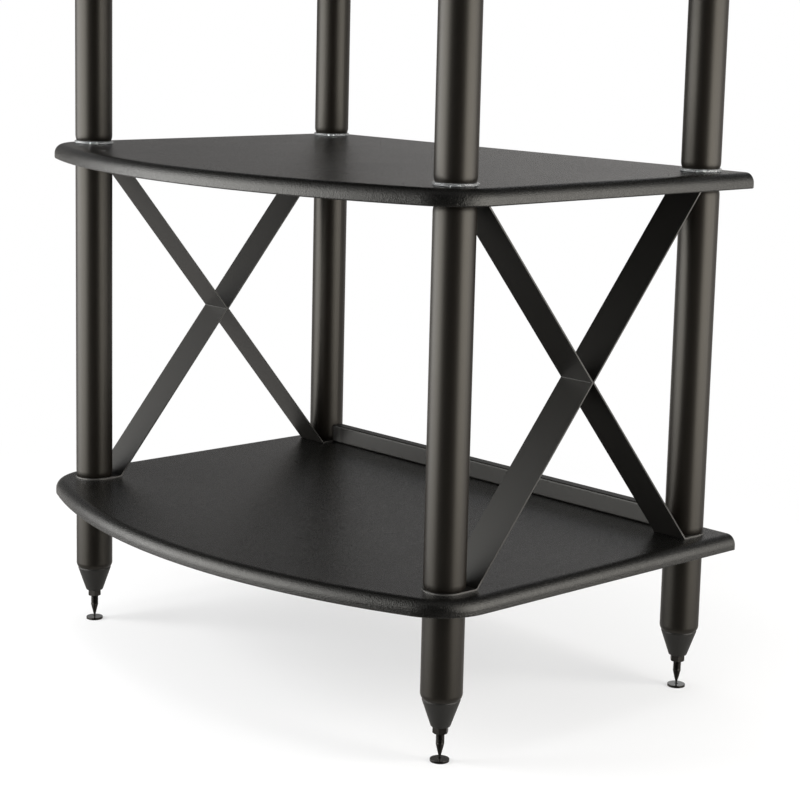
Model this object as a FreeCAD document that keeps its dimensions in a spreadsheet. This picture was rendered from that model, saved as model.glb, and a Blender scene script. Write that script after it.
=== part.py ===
import FreeCAD, Part
import os
import re
from math import isclose, sqrt

import Sketcher
from FreeCAD import Placement, Rotation, Vector

# Record player stand: three boards on four tube posts, with a record bay under the middle board.
# It stands on z = 0 with its middle over the origin, and its bowed front faces -Y.

SIZES = {
    # Boards
    "shelf_width": 622,
    "shelf_depth": 460,
    "shelf_thickness": 15,
    "front_bow_radius": 667,
    "front_corner_radius": 60,
    "top_edge_radius": 10,
    "foot_edge_radius": 1.5,
    # Places of the post axes, measured in from the boards' edges
    "side_edge_to_post": 40,
    "back_edge_to_post": 31,
    "bow_crown_to_post": 104,
    # Clear heights between boards
    "record_bay_height": 340,
    "upper_bay_height": 200,
    # Tubes of the legs and posts
    "tube_diameter": 38.1,
    "tube_wall": 3,
    "post_end_height": 6,
    "post_end_radius": 15,
    "leg_end_radius": 2.4,
    "leg_length": 83.5,
    "leg_taper_height": 5,
    "leg_taper_radius": 8.5,
    # Threaded plugs bonded into the tube ends, and the studs that screw into them
    "plug_length": 16,
    "plug_recess": 0.4,
    "plug_bond_gap": 0.05,
    "stud_diameter": 8,
    "stud_engagement": 12,
    "stud_end_chamfer": 0.8,
    "thread_gap": 0.05,
    "stud_hole_gap": 0.25,
    # Blind nuts sunk into the underside of the top board
    "blind_nut_diameter": 12,
    "blind_nut_length": 10,
    "blind_nut_depth_gap": 0.5,
    # Clear washers between board and upper post
    "washer_diameter": 40,
    "washer_thickness": 3,
    "washer_edge_radius": 1,
    # Folded flat strips that brace each side
    "brace_width": 39,
    "brace_thickness": 1.5,
    "brace_bend_to_post": 21.3,
    "brace_inner_bend_radius": 0.5,
    "brace_fold_gap": 0.1,
    "brace_nose_flat": 1,
    # Channel that stops the records at the back
    "stop_bar_height": 20,
    "stop_bar_depth": 12,
    "stop_bar_sheet": 1.5,
    "stop_bar_inner_bend_radius": 0.6,
    "stop_bar_end_gap": 0.5,
    "stop_bar_end_to_screw": 51.45,
    "stop_screw_diameter": 3.5,
    "stop_screw_length": 12,
    "stop_screw_head_diameter": 7,
    "stop_screw_head_height": 2.2,
    "stop_screw_head_radius": 1,
    "stop_screw_hole_gap": 0.05,
    # Feet
    "cone_height": 26.2,
    "cone_lip_diameter": 34.6,
    "cone_lip_height": 1.8,
    "cone_lip_radius": 0.7,
    "cone_foot_diameter": 17.6,
    "cone_foot_radius": 1,
    "cone_spigot_length": 14,
    "spike_diameter": 7.8,
    "spike_shaft_length": 46,
    "spike_shown_shaft": 10,
    "spike_point_length": 15,
    "spike_tip_radius": 0.2,
    "spike_end_chamfer": 0.8,
    "spike_thread_gap": 0.06,
    "lock_nut_across_flats": 13,
    "lock_nut_height": 6.5,
    "lock_nut_chamfer": 1.6,
    "floor_disc_diameter": 17.6,
    "floor_disc_thickness": 2.4,
    "floor_disc_edge_radius": 0.35,
    "floor_disc_seat_depth": 1.3,
    "floor_disc_seat_radius": 2,
    "floor_disc_tip_gap": 0.2,
    # How far each lock nut happens to be turned, in degrees
    "nut_turn_front_left": 26,
    "nut_turn_front_right": 5,
    "nut_turn_rear_left": 44,
    "nut_turn_rear_right": 16,
}

DERIVED = {
    # Plan of a board: the bow's centre, the corner's centre, and where corner and bow meet
    "bow_centre": "front_bow_radius - shelf_depth / 2",
    "corner_centre_across": "shelf_width / 2 - front_corner_radius",
    "corner_to_bow_centre": "front_bow_radius - front_corner_radius",
    "corner_centre_deep": "bow_centre - sqrt(corner_to_bow_centre ^ 2 - corner_centre_across ^ 2)",
    "bow_share": "front_bow_radius / corner_to_bow_centre",
    "bow_end_across": "corner_centre_across * bow_share",
    "bow_end_deep": "bow_centre - (bow_centre - corner_centre_deep) * bow_share",
    # Post axes
    "post_side": "shelf_width / 2 - side_edge_to_post",
    "post_rear": "shelf_depth / 2 - back_edge_to_post",
    "post_front": "bow_crown_to_post - shelf_depth / 2",
    "post_to_fold": "(post_rear - post_front) / 2",
    # Heights, from the floor up
    "spike_tip_level": "floor_disc_thickness - floor_disc_seat_depth + floor_disc_tip_gap",
    "lock_nut_level": "spike_tip_level + spike_point_length + spike_shown_shaft",
    "cone_level": "lock_nut_level + lock_nut_height",
    "leg_level": "cone_level + cone_height",
    "bottom_shelf_level": "leg_level + leg_length",
    "bottom_shelf_top": "bottom_shelf_level + shelf_thickness",
    "middle_shelf_level": "bottom_shelf_top + record_bay_height",
    "middle_shelf_top": "middle_shelf_level + shelf_thickness",
    "top_shelf_level": "middle_shelf_top + upper_bay_height",
    "lower_post_level": "bottom_shelf_top + brace_thickness",
    "lower_post_length": "record_bay_height - 2 * brace_thickness",
    "upper_post_level": "middle_shelf_top + washer_thickness",
    "upper_post_length": "upper_bay_height - 2 * washer_thickness",
    "top_washer_level": "top_shelf_level - washer_thickness",
    # Tubes, plugs and studs
    "tube_bore": "tube_diameter - 2 * tube_wall",
    "plug_diameter": "tube_bore - 2 * plug_bond_gap",
    "stud_hole": "stud_diameter + 2 * stud_hole_gap",
    "stud_thread_hole": "stud_diameter + 2 * thread_gap",
    "post_end_inset": "post_end_radius - sqrt(post_end_radius ^ 2 - post_end_height ^ 2)",
    "leg_plug_level": "bottom_shelf_level - plug_recess - plug_length",
    "leg_taper_inset": "leg_taper_radius - sqrt(leg_taper_radius ^ 2 - leg_taper_height ^ 2)",
    "bottom_stud_level": "bottom_shelf_level - plug_recess - stud_engagement",
    "bottom_stud_length": "shelf_thickness + brace_thickness + 2 * (plug_recess + stud_engagement)",
    "middle_stud_level": "middle_shelf_level - brace_thickness - plug_recess - stud_engagement",
    "middle_stud_length": "bottom_stud_length + washer_thickness",
    "top_stud_level": "top_washer_level - plug_recess - stud_engagement",
    "top_stud_length": "stud_engagement + plug_recess + washer_thickness + blind_nut_length",
    "blind_nut_pocket_depth": "blind_nut_length + blind_nut_depth_gap",
    "blind_nut_pocket": "blind_nut_diameter + 2 * plug_bond_gap",
    # Braces: slope of the arms, and how far the inner corners step back from the outer ones
    "brace_rise": "record_bay_height / 2",
    "brace_plain_run": "post_to_fold - brace_bend_to_post",
    "brace_plain_arm": "sqrt(brace_plain_run ^ 2 + brace_rise ^ 2)",
    "brace_outer_bend_radius": "brace_inner_bend_radius + brace_thickness",
    "brace_fold_rounding": "brace_outer_bend_radius * (brace_plain_arm / brace_rise - 1)",
    "brace_fold": "post_to_fold + brace_fold_rounding - brace_fold_gap / 2",
    "brace_run": "brace_fold - brace_bend_to_post",
    "brace_arm": "sqrt(brace_run ^ 2 + brace_rise ^ 2)",
    "brace_bend_setback": "brace_thickness * (brace_arm - brace_run) / brace_rise",
    "brace_fold_setback": "brace_thickness * brace_arm / brace_rise",
    "brace_nose_radius": "(brace_width - brace_nose_flat) / 2",
    # Stop bar and its screws
    "stop_bar_length": "2 * (post_side - stop_bar_end_gap) - tube_diameter",
    "stop_bar_outer_bend_radius": "stop_bar_inner_bend_radius + stop_bar_sheet",
    "stop_screw_spacing": "stop_bar_length / 2 - stop_bar_end_to_screw",
    "stop_screw_hole": "stop_screw_diameter + 2 * stop_screw_hole_gap",
    "stop_screw_point_level": "bottom_shelf_top + stop_bar_sheet - stop_screw_length",
    # Feet
    "spike_length": "spike_point_length + spike_shaft_length",
    "spike_bore": "spike_diameter + 2 * spike_thread_gap",
    "lock_nut_corner": "lock_nut_across_flats / sqrt(3)",
}

CORNERS = {
    "front_left": ("-post_side", "post_front"),
    "front_right": ("post_side", "post_front"),
    "rear_left": ("-post_side", "post_rear"),
    "rear_right": ("post_side", "post_rear"),
}

doc = FreeCAD.newDocument("RecordPlayerStand")
sheet = doc.addObject("Spreadsheet::Sheet", "Sizes")
scratch_sheet = doc.addObject("Spreadsheet::Sheet", "Scratch")
cells = {name: str(size) for name, size in SIZES.items()}
cells.update({name: "=" + formula for name, formula in DERIVED.items()})
for row, (name, content) in enumerate(cells.items(), start=1):
    sheet.set(f"A{row}", name)
    sheet.set(f"B{row}", content)
    sheet.setAlias(f"B{row}", name)
doc.recompute()

parts = []


def bound(formula):
    """Write a formula of sheet names so that other objects of the document can read it."""
    return re.sub(r"[a-z_]+", lambda word: f"Sizes.{word[0]}" if word[0] in cells else word[0], formula)


def worked(formula):
    """Work out a formula in a cell that nothing else depends on, and give the number."""
    scratch_sheet.set("A1", "=" + bound(formula))
    scratch_sheet.recompute()
    return float(scratch_sheet.get("A1"))


def new_body(label, across="0", deep="0", level="0", turn="0"):
    """Start a sub-part at a place given by formulas, turned about the vertical by degrees."""
    body = doc.addObject("PartDesign::Body", label)
    body.Label = label
    body.AllowCompound = True
    body.Placement = Placement(Vector(), Rotation(Vector(0, 0, 1), worked(turn)))
    for axis, formula in zip("xyz", (across, deep, level)):
        body.setExpression(f"Placement.Base.{axis}", bound(formula))
    parts.append(body)
    return body


def new_sketch(body, role, level="0"):
    """Start a sketch on one of the body's own origin planes, lifted off it by a formula."""
    plane = next(item for item in body.Origin.OriginFeatures if item.Role == role)
    sketch = body.newObject("Sketcher::SketchObject", body.Name + "_sketch")
    sketch.AttachmentSupport = (plane, [""])
    sketch.MapMode = "FlatFace"
    sketch.setExpression("AttachmentOffset.Base.z", bound(level))
    return sketch


def pin_size(sketch, kind, where, formula):
    """Give the sketch one dimension that follows a formula."""
    index = sketch.addConstraint(Sketcher.Constraint(kind, *where, worked(formula)))
    sketch.setExpression(f"Constraints[{index}]", bound(formula))


def left_arc(start, end, radius):
    """Arc of a given radius from start to end that turns to the left."""
    chord = end - start
    depth = radius - sqrt(radius ** 2 - (chord.Length / 2) ** 2)
    outwards = Vector(chord.y, -chord.x, 0).normalize()
    return Part.Arc(start, (start + end) / 2 + outwards * depth, end)


def draw_outline(sketch, corners):
    """Close an outline through corners, named anticlockwise as pairs of formulas.

    A third formula on a corner is the radius of the arc that runs from it to the next corner.
    """
    points = [Vector(worked(corner[0]), worked(corner[1]), 0) for corner in corners]
    ends = []
    for corner, start, end in zip(corners, points, points[1:] + points[:1]):
        if len(corner) == 2:
            edge = sketch.addGeometry(Part.LineSegment(start, end))
        else:
            edge = sketch.addGeometry(left_arc(start, end, worked(corner[2])))
            pin_size(sketch, "Radius", (edge,), corner[2])
        forward = sketch.getPoint(edge, 1).distanceToPoint(start) < sketch.getPoint(edge, 1).distanceToPoint(end)
        ends.append((edge, 1, 2) if forward else (edge, 2, 1))
    for (edge, _, last), (following, first, _) in zip(ends, ends[1:] + ends[:1]):
        sketch.addConstraint(Sketcher.Constraint("Coincident", edge, last, following, first))
    for corner, (edge, first, _) in zip(corners, ends):
        pin_size(sketch, "DistanceX", (-1, 1, edge, first), corner[0])
        pin_size(sketch, "DistanceY", (-1, 1, edge, first), corner[1])


def draw_circles(sketch, places, *diameters):
    """Draw circles of each diameter about every place."""
    for across, deep in places:
        for diameter in diameters:
            middle = Vector(worked(across), worked(deep), 0)
            circle = sketch.addGeometry(Part.Circle(middle, Vector(0, 0, 1), worked(diameter) / 2))
            pin_size(sketch, "DistanceX", (-1, 1, circle, 3), across)
            pin_size(sketch, "DistanceY", (-1, 1, circle, 3), deep)
            pin_size(sketch, "Diameter", (circle,), diameter)


def pad(body, sketch, length):
    """Raise a sketch into a solid."""
    feature = body.newObject("PartDesign::Pad", body.Name + "_pad")
    feature.Profile = sketch
    feature.setExpression("Length", bound(length))
    doc.recompute()
    return feature


def revolve(body, corners):
    """Turn an outline of radius and height pairs about the body's vertical axis."""
    sketch = new_sketch(body, "XZ_Plane")
    draw_outline(sketch, corners)
    feature = body.newObject("PartDesign::Revolution", body.Name + "_turned")
    feature.Profile = sketch
    feature.ReferenceAxis = (sketch, ["V_Axis"])
    doc.recompute()
    return feature


def pocket(body, sketch, depth=None):
    """Cut a sketch upwards, to a depth or right through, and see that it did cut."""
    before = body.Shape.Volume
    feature = body.newObject("PartDesign::Pocket", body.Name + "_pocket")
    feature.Profile = sketch
    feature.Reversed = True
    if depth is None:
        feature.Type = "ThroughAll"
    else:
        feature.setExpression("Length", bound(depth))
    doc.recompute()
    if not body.Shape.Volume < before:
        raise RuntimeError(f"{feature.Name} cuts nothing")
    return feature


def dress(body, kind, size_name, formula, chosen):
    """Fillet or chamfer the edges of the body that the test picks."""
    base = body.Tip
    names = [f"Edge{i}" for i, edge in enumerate(base.Shape.Edges, start=1) if chosen(edge)]
    if not names:
        raise RuntimeError(f"{body.Label} has no edge to dress")
    feature = body.newObject(f"PartDesign::{kind}", f"{body.Name}_{kind.lower()}")
    feature.Base = (base, names)
    feature.setExpression(size_name, bound(formula))
    doc.recompute()
    return feature


def round_edges(body, radius, chosen):
    """Fillet the chosen edges."""
    return dress(body, "Fillet", "Radius", radius, chosen)


def bevel_edges(body, size, chosen):
    """Chamfer the chosen edges."""
    return dress(body, "Chamfer", "Size", size, chosen)


def same(one, other):
    """Whether two lengths agree within the modelling tolerance of their own size."""
    return isclose(one, other, rel_tol=1e-7, abs_tol=1e-7)


def ring(diameter, *levels):
    """Test for circular edges of a diameter at any of the levels, in the body's own frame."""
    radius = worked(diameter) / 2
    heights = [worked(level) for level in levels]

    def chosen(edge):
        if not isinstance(edge.Curve, Part.Circle) or not same(edge.Curve.Radius, radius):
            return False
        return any(same(edge.Curve.Center.z, height) for height in heights)

    return chosen


def crossing(across, *points):
    """Test for straight edges that cross a plane square to the X axis at any of the points."""
    middles = [Vector(worked(across), worked(deep), worked(level)) for deep, level in points]

    def chosen(edge):
        return any(same(edge.CenterOfMass.distanceToPoint(middle), 0) for middle in middles)

    return chosen


def build_shelf(label, level, hole, hole_depth=None):
    """Board with a bowed front, rounded at the front and sides and cut square at the back."""
    body = new_body(label, level=level)
    outline = new_sketch(body, "XY_Plane")
    draw_outline(outline, [
        ("-shelf_width / 2", "shelf_depth / 2"),
        ("-shelf_width / 2", "corner_centre_deep", "front_corner_radius"),
        ("-bow_end_across", "bow_end_deep", "front_bow_radius"),
        ("bow_end_across", "bow_end_deep", "front_corner_radius"),
        ("shelf_width / 2", "corner_centre_deep"),
        ("shelf_width / 2", "shelf_depth / 2"),
    ])
    pad(body, outline, "shelf_thickness")
    back = worked("shelf_depth / 2")
    for radius, height in (("top_edge_radius", worked("shelf_thickness")), ("foot_edge_radius", 0)):
        round_edges(body, radius, lambda edge: all(same(corner.Z, height) for corner in edge.Vertexes)
                    and same(edge.CenterOfMass.z, height) and not same(edge.CenterOfMass.y, back))
    holes = new_sketch(body, "XY_Plane")
    draw_circles(holes, CORNERS.values(), hole)
    pocket(body, holes, hole_depth)
    return body


def build_tube(label, place, level, length):
    """Tube that stands at a post axis, with both ends drawn in a little outside."""
    body = new_body(label, *place, level)
    revolve(body, [
        ("tube_bore / 2", "0"),
        ("tube_diameter / 2 - post_end_inset", "0", "post_end_radius"),
        ("tube_diameter / 2", "post_end_height"),
        ("tube_diameter / 2", f"{length} - post_end_height", "post_end_radius"),
        ("tube_diameter / 2 - post_end_inset", length),
        ("tube_bore / 2", length),
    ])


def build_leg(label, place):
    """Tube of a leg: rounded under the board, and drawn in to meet the cone at its foot."""
    body = new_body(label, *place, "leg_level")
    revolve(body, [
        ("tube_bore / 2", "0"),
        ("tube_diameter / 2 - leg_taper_inset", "0", "leg_taper_radius"),
        ("tube_diameter / 2", "leg_taper_height"),
        ("tube_diameter / 2", "leg_length"),
        ("tube_bore / 2", "leg_length"),
    ])
    round_edges(body, "leg_end_radius", ring("tube_diameter", "leg_length"))


def build_discs(label, diameter, length, *levels, bore=None):
    """Like round pieces, one at each post axis on each level, with a bore if one is named."""
    body = new_body(label, level=levels[0])
    for level in levels:
        section = new_sketch(body, "XY_Plane", f"({level}) - ({levels[0]})")
        draw_circles(section, CORNERS.values(), *([diameter, bore] if bore else [diameter]))
        pad(body, section, length)
    return body


def build_studs(label, level, length):
    """One threaded stud at each post axis, both ends bevelled."""
    body = build_discs(label, "stud_diameter", length, level)
    bevel_edges(body, "stud_end_chamfer", ring("stud_diameter", "0", length))


def build_washers(label, level):
    """One clear washer at each post axis."""
    body = build_discs(label, "washer_diameter", "washer_thickness", level, bore="stud_hole")
    round_edges(body, "washer_edge_radius", ring("washer_diameter", "0", "washer_thickness"))


def build_brace(label, side, front):
    """Flat strip folded like an arrowhead: a tab under the post, two arms, and a tab over the post.

    The strip is drawn with its post axis at the origin and its fold towards +Y, and the rear one
    is turned about.
    """
    if front:
        body = new_body(label, f"{side} - brace_width / 2", "post_front", "bottom_shelf_top")
    else:
        body = new_body(label, f"{side} + brace_width / 2", "post_rear", "bottom_shelf_top", "180")
    strip = new_sketch(body, "YZ_Plane")
    upper = "record_bay_height"
    draw_outline(strip, [
        ("-brace_width / 2", "0"),
        ("brace_bend_to_post", "0"),
        ("brace_fold", "brace_rise"),
        ("brace_bend_to_post", upper),
        ("-brace_width / 2", upper),
        ("-brace_width / 2", f"{upper} - brace_thickness"),
        ("brace_bend_to_post - brace_bend_setback", f"{upper} - brace_thickness"),
        ("brace_fold - brace_fold_setback", "brace_rise"),
        ("brace_bend_to_post - brace_bend_setback", "brace_thickness"),
        ("-brace_width / 2", "brace_thickness"),
    ])
    pad(body, strip, "brace_width")
    round_edges(body, "brace_outer_bend_radius", crossing(
        "brace_width / 2",
        ("brace_bend_to_post", "0"),
        ("brace_fold", "brace_rise"),
        ("brace_bend_to_post", upper),
    ))
    round_edges(body, "brace_inner_bend_radius", crossing(
        "brace_width / 2",
        ("brace_bend_to_post - brace_bend_setback", "brace_thickness"),
        ("brace_fold - brace_fold_setback", "brace_rise"),
        ("brace_bend_to_post - brace_bend_setback", f"{upper} - brace_thickness"),
    ))
    nose = worked("-brace_width / 2")
    thickness = worked("brace_thickness")
    round_edges(body, "brace_nose_radius", lambda edge: same(edge.Length, thickness)
                and all(same(corner.Y, nose) for corner in edge.Vertexes))
    hole = new_sketch(body, "XY_Plane")
    draw_circles(hole, [("brace_width / 2", "0")], "stud_hole")
    pocket(body, hole)


def build_stop_bar():
    """Channel between the rear posts, open to the back, that keeps records from sliding through."""
    body = new_body("record_stop_bar", "-stop_bar_length / 2", "post_rear", "bottom_shelf_top")
    front = "-stop_bar_depth / 2"
    back = "stop_bar_depth / 2"
    web = "stop_bar_sheet - stop_bar_depth / 2"
    lid = "stop_bar_height - stop_bar_sheet"
    channel = new_sketch(body, "YZ_Plane")
    draw_outline(channel, [
        (front, "0"),
        (back, "0"),
        (back, "stop_bar_sheet"),
        (web, "stop_bar_sheet"),
        (web, lid),
        (back, lid),
        (back, "stop_bar_height"),
        (front, "stop_bar_height"),
    ])
    pad(body, channel, "stop_bar_length")
    half = "stop_bar_length / 2"
    round_edges(body, "stop_bar_outer_bend_radius", crossing(half, (front, "0"), (front, "stop_bar_height")))
    round_edges(body, "stop_bar_inner_bend_radius", crossing(half, (web, "stop_bar_sheet"), (web, lid)))
    holes = new_sketch(body, "XY_Plane")
    draw_circles(holes, screw_places(half), "stop_screw_hole")
    pocket(body, holes, "stop_bar_sheet")


def screw_places(middle, line="0"):
    """Places of the stop bar's screws: one at the middle of the bar and one each side of it."""
    return [(f"{middle} + {share} * stop_screw_spacing", f"{line} + stop_bar_sheet / 2") for share in (-1, 0, 1)]


def build_stop_screws():
    """Round-headed screws that hold the stop bar down, their heads inside the channel."""
    body = new_body("record_stop_screws", deep="post_rear", level="stop_screw_point_level")
    shanks = new_sketch(body, "XY_Plane")
    draw_circles(shanks, screw_places("0"), "stop_screw_diameter")
    pad(body, shanks, "stop_screw_length")
    heads = new_sketch(body, "XY_Plane", "stop_screw_length")
    draw_circles(heads, screw_places("0"), "stop_screw_head_diameter")
    pad(body, heads, "stop_screw_head_height")
    round_edges(body, "stop_screw_head_radius",
                ring("stop_screw_head_diameter", "stop_screw_length + stop_screw_head_height"))


def build_cone(label, place):
    """Turned cone with a spigot up inside the leg and a threaded bore for the spike."""
    body = new_body(label, *place, "cone_level")
    lip_level = "cone_height - cone_lip_height"
    spigot_top = "cone_height + cone_spigot_length"
    revolve(body, [
        ("spike_bore / 2", "0"),
        ("cone_foot_diameter / 2", "0"),
        ("cone_lip_diameter / 2", lip_level),
        ("cone_lip_diameter / 2", "cone_height"),
        ("plug_diameter / 2", "cone_height"),
        ("plug_diameter / 2", spigot_top),
        ("spike_bore / 2", spigot_top),
    ])
    round_edges(body, "cone_foot_radius", ring("cone_foot_diameter", "0"))
    round_edges(body, "cone_lip_radius", ring("cone_lip_diameter", lip_level, "cone_height"))


def build_lock_nut(label, place):
    """Hexagon nut on the spike, jammed against the cone, its corners turned off above and below."""
    body = new_body(label, *place, "lock_nut_level", label.replace("lock_nut", "nut_turn"))
    hexagon = new_sketch(body, "XY_Plane")
    draw_outline(hexagon, [
        (f"lock_nut_corner * cos({turn})", f"lock_nut_corner * sin({turn})") for turn in range(0, 360, 60)
    ])
    pad(body, hexagon, "lock_nut_height")
    flat = "lock_nut_across_flats / 2"
    beyond = f"2 * lock_nut_corner - {flat}"
    under = [(flat, "0"), (beyond, "0"), (beyond, "lock_nut_chamfer")]
    over = [(beyond, "lock_nut_height - lock_nut_chamfer"), (beyond, "lock_nut_height"), (flat, "lock_nut_height")]
    for wedge in (under, over):
        section = new_sketch(body, "XZ_Plane")
        draw_outline(section, wedge)
        groove = body.newObject("PartDesign::Groove", body.Name + "_groove")
        groove.Profile = section
        groove.ReferenceAxis = (section, ["V_Axis"])
        doc.recompute()
    bore = new_sketch(body, "XY_Plane")
    draw_circles(bore, [("0", "0")], "spike_bore")
    pocket(body, bore)


def build_spike(label, place):
    """Threaded shaft turned to a point at its foot."""
    body = new_body(label, *place, "spike_tip_level")
    revolve(body, [
        ("0", "0"),
        ("spike_tip_radius", "0"),
        ("spike_diameter / 2", "spike_point_length"),
        ("spike_diameter / 2", "spike_length"),
        ("0", "spike_length"),
    ])
    bevel_edges(body, "spike_end_chamfer", ring("spike_diameter", "spike_length"))


def build_floor_disc(label, place):
    """Coin-like disc with a shallow seat turned in its top for the spike's point."""
    body = new_body(label, *place)
    revolve(body, [
        ("0", "0"),
        ("floor_disc_diameter / 2", "0"),
        ("floor_disc_diameter / 2", "floor_disc_thickness"),
        ("floor_disc_seat_radius", "floor_disc_thickness"),
        ("0", "floor_disc_thickness - floor_disc_seat_depth"),
    ])
    round_edges(body, "floor_disc_edge_radius", ring("floor_disc_diameter", "0", "floor_disc_thickness"))


bottom = build_shelf("bottom_shelf", "bottom_shelf_level", "stud_hole")
pilots = new_sketch(bottom, "XY_Plane", "stop_screw_point_level - bottom_shelf_level")
draw_circles(pilots, screw_places("0", "post_rear"), "stop_screw_hole")
pocket(bottom, pilots)
build_shelf("middle_shelf", "middle_shelf_level", "stud_hole")
build_shelf("top_shelf", "top_shelf_level", "blind_nut_pocket", "blind_nut_pocket_depth")

for corner, place in CORNERS.items():
    build_leg(f"leg_{corner}", place)
    build_tube(f"lower_post_{corner}", place, "lower_post_level", "lower_post_length")
    build_tube(f"upper_post_{corner}", place, "upper_post_level", "upper_post_length")
    build_cone(f"foot_cone_{corner}", place)
    build_lock_nut(f"lock_nut_{corner}", place)
    build_spike(f"spike_{corner}", place)
    build_floor_disc(f"floor_disc_{corner}", place)
    build_brace(f"brace_{corner}", place[0], place[1] == "post_front")

plugs = ("plug_diameter", "plug_length")
build_discs("leg_plugs", *plugs, "leg_plug_level", bore="stud_thread_hole")
for bay in ("lower", "upper"):
    build_discs(f"{bay}_post_plugs", *plugs, f"{bay}_post_level + plug_recess",
                f"{bay}_post_level + {bay}_post_length - plug_recess - plug_length", bore="stud_thread_hole")
build_studs("bottom_shelf_studs", "bottom_stud_level", "bottom_stud_length")
build_studs("middle_shelf_studs", "middle_stud_level", "middle_stud_length")
build_studs("top_shelf_studs", "top_stud_level", "top_stud_length")
build_discs("top_shelf_blind_nuts", "blind_nut_diameter", "blind_nut_length", "top_shelf_level",
            bore="stud_thread_hole")
build_washers("middle_shelf_washers", "middle_shelf_top")
build_washers("top_shelf_washers", "top_washer_level")
build_stop_bar()
build_stop_screws()

doc.recompute()
for item in doc.Objects:
    if {"Invalid", "Error"} & set(item.State):
        raise RuntimeError(f"{item.Label} failed: {item.State}")
os.makedirs("parts", exist_ok=True)
for part in parts:
    if part.Shape.isNull() or not part.Shape.isValid():
        raise RuntimeError(f"{part.Label} has no valid shape")
for part in parts:
    part.Shape.exportStep(f"parts/{part.Label}.step")
    print(part.Label, len(part.Shape.Solids), round(part.Shape.Volume))
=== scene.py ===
"""Dresses the record player stand: finishes, threads and screw heads, the studio and the camera.

Lengths are in metres in the stand's own frame: the floor is z = 0 and the bowed front faces -Y.
"""

import logging
import math
from dataclasses import dataclass, field
from enum import Enum
from typing import Any, Sequence

import bmesh
import bpy
import numpy as np
from mathutils import Matrix, Vector


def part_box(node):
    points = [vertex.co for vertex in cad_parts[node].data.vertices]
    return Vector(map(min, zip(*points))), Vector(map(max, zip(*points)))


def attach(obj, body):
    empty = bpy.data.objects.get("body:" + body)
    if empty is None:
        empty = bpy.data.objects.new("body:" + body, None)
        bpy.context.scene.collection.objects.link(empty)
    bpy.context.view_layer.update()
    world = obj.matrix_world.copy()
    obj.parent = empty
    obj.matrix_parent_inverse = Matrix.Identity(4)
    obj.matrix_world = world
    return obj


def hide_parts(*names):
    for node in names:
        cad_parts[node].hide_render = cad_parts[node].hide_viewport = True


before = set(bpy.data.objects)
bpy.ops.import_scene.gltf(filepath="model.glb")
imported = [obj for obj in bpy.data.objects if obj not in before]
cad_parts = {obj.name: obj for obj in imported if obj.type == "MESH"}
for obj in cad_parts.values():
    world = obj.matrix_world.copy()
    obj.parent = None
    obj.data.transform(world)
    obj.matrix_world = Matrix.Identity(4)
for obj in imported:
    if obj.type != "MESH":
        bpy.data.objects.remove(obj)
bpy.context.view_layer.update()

log = logging.getLogger("stand")
MM = 0.001
WELD_DISTANCE = 0.002 * MM
SLIVER_LENGTH = 0.001 * MM
WHITE = (1.0, 1.0, 1.0, 1.0)
Rgb = tuple[float, float, float]


class Corner(Enum):
    """The four posts, as the nodes of the stand name them."""

    FRONT_LEFT = "front_left"
    FRONT_RIGHT = "front_right"
    REAR_LEFT = "rear_left"
    REAR_RIGHT = "rear_right"


class Slot(Enum):
    """The record's material slots."""

    SHELF_WRAP = "shelf_wrap"
    POST_COAT = "post_coat"
    STRIP_COAT = "strip_coat"
    CONE_COAT = "cone_coat"
    BLACK_STEEL = "black_steel"
    PLUG_ALUMINIUM = "plug_aluminium"
    PLATED_STEEL = "plated_steel"
    CLEAR_WASHER = "clear_washer"


class Effect(Enum):
    """The shared node groups, each named as the method that builds it."""

    POST_AXIS = "post_axis"
    WRAP_GRAIN = "wrap_grain"
    COAT_SKIN = "coat_skin"
    TURNING_LINES = "turning_lines"
    HANDLING = "handling"


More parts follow.
